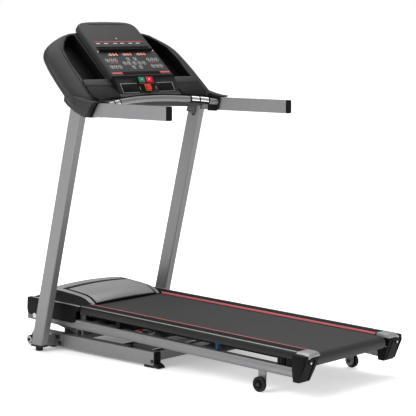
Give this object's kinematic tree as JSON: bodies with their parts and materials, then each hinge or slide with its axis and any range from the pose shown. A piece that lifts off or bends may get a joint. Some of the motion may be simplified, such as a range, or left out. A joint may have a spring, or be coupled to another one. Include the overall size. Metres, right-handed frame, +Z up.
{
  "type": "treadmill",
  "caption": "Folding motorised treadmill with powered incline, leaning uprights, side handrails, curved pulse bar and a wide sloped control console",
  "frame": {"origin": "On the floor, under the middle of the machine's bounding box", "axes": "+Z up, +Y to the front (motor end), +X to the right of a user who faces the console"},
  "size_m": [0.904, 1.7251, 1.5111],
  "materials": {
    "steel_paint": "satin grey powder coat",
    "dark_steel": "satin dark grey paint",
    "zinc": "zinc plated",
    "black_bolt": "black oxide",
    "chrome": "polished",
    "rubber": "matte",
    "black_plastic": "fine texture",
    "grey_plastic": "fine texture, silver grey",
    "panel_plastic": "satin printed overlay",
    "belt": "woven PVC belt",
    "board": "coated fibreboard",
    "red_plastic": "gloss",
    "green_plastic": "gloss",
    "blue_rubber": "matte",
    "motor_metal": "painted",
    "light_wheel": "smooth"
  },
  "bodies": {
    "base": {"base_frame": "steel_paint", "base_end_caps": "black_plastic", "base_feet": "rubber", "deck_stops": "rubber", "upright_brackets": "steel_paint", "base_bolts": "black_bolt", "left_upright": "steel_paint", "right_upright": "steel_paint", "upright_feet": "rubber", "left_handrail": "steel_paint", "right_handrail": "steel_paint", "handrail_caps": "black_plastic", "handrail_collars": "black_plastic", "pulse_bar": "steel_paint", "pulse_grips": "black_plastic", "pulse_sensors": "chrome", "console_support": "dark_steel", "console_housing": "black_plastic", "console_bezel": "black_plastic", "console_panel": "panel_plastic", "left_holder": "black_plastic", "right_holder": "black_plastic", "console_fascia": "black_plastic", "lift_pins": "black_bolt"},
    "left transport wheel": {"left_transport_wheel": "light_wheel"},
    "right transport wheel": {"right_transport_wheel": "light_wheel"},
    "start button": {"start_button": "green_plastic"},
    "stop button": {"stop_button": "red_plastic"},
    "safety key": {"safety_key": "red_plastic"},
    "lift frame": {"lift_frame": "steel_paint", "pivot_shaft": "zinc"},
    "incline motor": {"incline_motor": "motor_metal"},
    "incline screw": {"incline_screw": "zinc"},
    "tilt cradle": {"tilt_cradle": "dark_steel"},
    "strut cylinder": {"strut_cylinder": "dark_steel"},
    "strut rod": {"strut_rod": "zinc"},
    "release sleeve": {"release_sleeve": "red_plastic"},
    "deck": {"deck_frame": "steel_paint", "deck_end_caps": "black_plastic", "deck_board": "board", "running_belt": "belt", "left_foot_rail": "black_plastic", "right_foot_rail": "black_plastic", "deck_cushions": "rubber", "deck_bumpers": "blue_rubber", "roller_axles": "zinc", "left_rear_cap": "black_plastic", "right_rear_cap": "black_plastic", "wheel_bolts": "black_bolt", "drive_motor": "motor_metal", "drive_belt": "rubber", "motor_pan": "black_plastic", "motor_hood": "grey_plastic", "power_inlet": "black_plastic"},
    "front roller": {"front_roller": "zinc"},
    "rear roller": {"rear_roller": "zinc"},
    "motor rotor": {"motor_rotor": "zinc"},
    "left rear wheel": {"left_rear_wheel": "rubber"},
    "right rear wheel": {"right_rear_wheel": "rubber"},
    "power switch": {"power_switch": "red_plastic"}
  },
  "joints": [
    {"name": "lift", "type": "hinge", "parent": "base", "child": "lift frame", "pos_m": [0, 0.54, 0.084], "axis": [1, 0, 0], "range_deg": [0, 27]},
    {"name": "deck tilt", "type": "hinge", "parent": "lift frame", "child": "tilt cradle", "pos_m": [0, 0.812, 0.136], "axis": [1, 0, 0], "range_deg": [-22.5, 0.2]},
    {"name": "fold", "type": "hinge", "parent": "tilt cradle", "child": "deck", "pos_m": [0, 0.812, 0.136], "axis": [-1, 0, 0], "range_deg": [0, 55]},
    {"name": "strut swing", "type": "hinge", "parent": "tilt cradle", "child": "strut cylinder", "pos_m": [0, 0.81328, 0.07201], "axis": [-1, 0, 0], "range_deg": [-0.5, 52.5]},
    {"name": "strut stroke", "type": "slide", "parent": "strut cylinder", "child": "strut rod", "axis": [0, -0.9997, 0.0257], "range_m": [-0.001, 0.053]},
    {"name": "release sleeve", "type": "slide", "parent": "strut cylinder", "child": "release sleeve", "axis": [0, -0.9997, 0.0257], "range_m": [0, 0.012], "stiffness_N_per_m": 300},
    {"name": "incline motor swing", "type": "hinge", "parent": "base", "child": "incline motor", "pos_m": [0.15, 0.33, 0.045], "axis": [1, 0, 0], "range_deg": [-0.2, 7]},
    {"name": "incline screw", "type": "slide", "parent": "incline motor", "child": "incline screw", "axis": [0, 0.9985, -0.0555], "range_m": [-0.001, 0.0195]},
    {"name": "motor spin", "type": "hinge", "parent": "deck", "child": "motor rotor", "pos_m": [0, 0.67102, 0.18318], "axis": [1, 0, 0], "continuous": true},
    {"name": "front roller", "type": "hinge", "parent": "deck", "child": "front roller", "pos_m": [0, 0.514, 0.18263], "axis": [1, 0, 0], "continuous": true},
    {"name": "rear roller", "type": "hinge", "parent": "deck", "child": "rear roller", "pos_m": [0, -0.81573, 0.15594], "axis": [1, 0, 0], "continuous": true},
    {"name": "left rear wheel", "type": "hinge", "parent": "deck", "child": "left rear wheel", "pos_m": [0, -0.60021, 0.0325], "axis": [1, 0, 0], "continuous": true},
    {"name": "right rear wheel", "type": "hinge", "parent": "deck", "child": "right rear wheel", "pos_m": [0, -0.60021, 0.0325], "axis": [1, 0, 0], "continuous": true},
    {"name": "left transport wheel", "type": "hinge", "parent": "base", "child": "left transport wheel", "pos_m": [0, 0.828, 0.022], "axis": [1, 0, 0], "continuous": true},
    {"name": "right transport wheel", "type": "hinge", "parent": "base", "child": "right transport wheel", "pos_m": [0, 0.828, 0.022], "axis": [1, 0, 0], "continuous": true},
    {"name": "start button", "type": "slide", "parent": "base", "child": "start button", "axis": [0, 0.891, -0.454], "range_m": [0, 0.002], "stiffness_N_per_m": 600},
    {"name": "stop button", "type": "slide", "parent": "base", "child": "stop button", "axis": [0, 0.891, -0.454], "range_m": [0, 0.002], "stiffness_N_per_m": 600},
    {"name": "safety key", "type": "slide", "parent": "base", "child": "safety key", "axis": [0, -0.891, 0.454], "range_m": [0, 0.025]},
    {"name": "power switch", "type": "hinge", "parent": "deck", "child": "power switch", "pos_m": [-0.182, 0.86313, 0.18004], "axis": [1, 0, 0], "range_deg": [0, 14]}
  ],
  "couplings": [
    {"joint": "deck tilt", "follows": "lift", "ratio": -0.8226},
    {"joint": "incline motor swing", "follows": "lift", "ratio": 0.251},
    {"joint": "incline screw", "follows": "lift", "m_per_rad": 0.0386},
    {"joint": "strut swing", "follows": "fold", "ratio": 0.942},
    {"joint": "strut stroke", "follows": "fold", "m_per_rad": 0.0541},
    {"joint": "front roller", "follows": "motor spin", "ratio": 0.4194},
    {"joint": "rear roller", "follows": "motor spin", "ratio": 0.4194}
  ]
}
